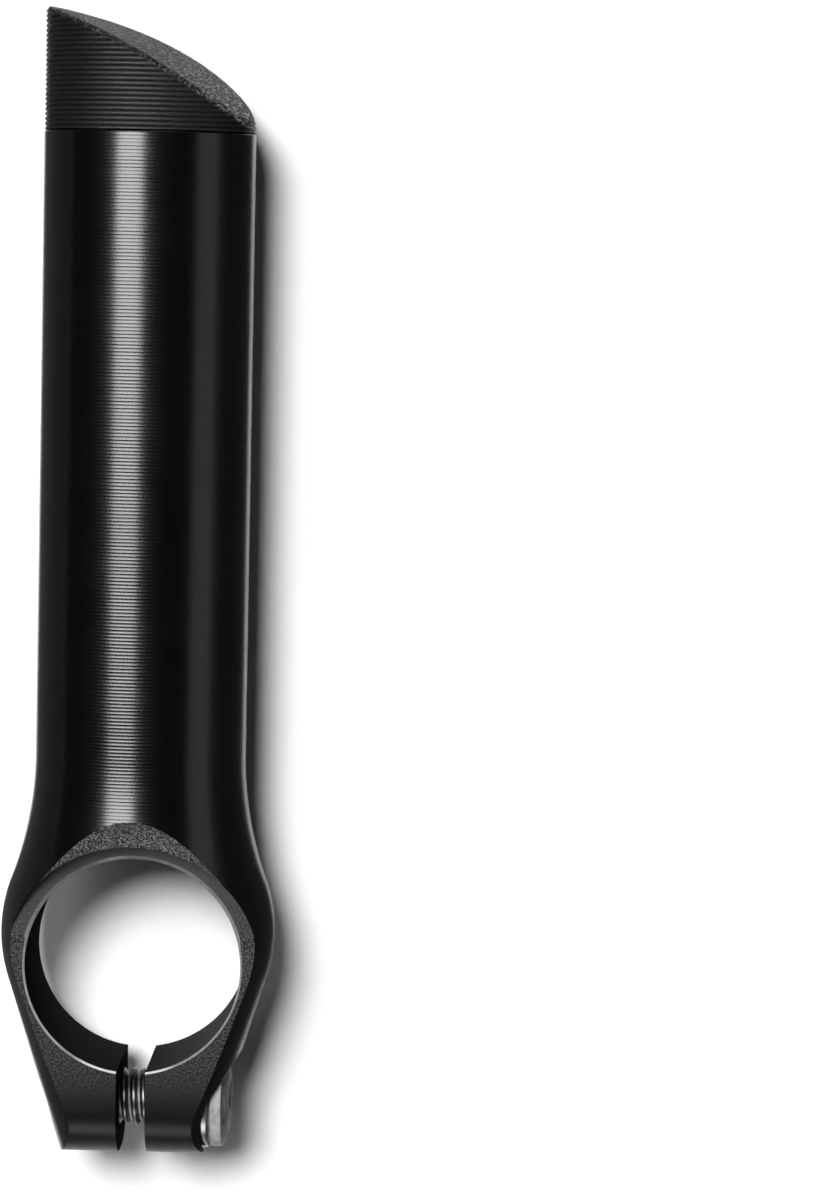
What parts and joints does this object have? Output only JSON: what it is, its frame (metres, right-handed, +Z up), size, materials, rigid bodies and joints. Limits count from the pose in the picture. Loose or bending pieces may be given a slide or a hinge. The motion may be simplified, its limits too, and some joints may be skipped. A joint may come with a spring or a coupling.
{
  "type": "bicycle bar end",
  "caption": "Short round aluminium handlebar extension with a split clamp eye and pinch bolt at one end and a slanted ridged plug in the other.",
  "frame": {"origin": "centre of the handlebar clamp bore", "axes": "+X along the pinch bolt towards its head, +Y up the tube to the plug, +Z along the axis of the clamp bore; the part lies with +Z up"},
  "size_m": [0.0284, 0.1187, 0.0226],
  "materials": {
    "anodised_black": "black anodised: turned and glossy on the tube, grit-blasted on the forged faces",
    "moulded_black": "fine-grained matte",
    "bolt_steel": "satin plated",
    "washer_steel": "bright satin"
  },
  "bodies": {
    "bar": {"bar_body": "anodised_black", "end_plug": "moulded_black"},
    "washer": {"bolt_washer": "washer_steel"},
    "bolt": {"pinch_bolt": "bolt_steel"}
  },
  "joints": [
    {"name": "bolt_travel", "type": "slide", "parent": "bar", "child": "washer", "axis": [1, 0, 0], "range_m": [0, 0.005]},
    {"name": "bolt_turn", "type": "hinge", "parent": "washer", "child": "bolt", "pos_m": [0, -0.015, 0], "axis": [1, 0, 0], "range_deg": [0, 1800]}
  ],
  "couplings": [
    {"joint": "bolt_turn", "follows": "bolt_travel", "rad_per_m": 6283.2}
  ]
}
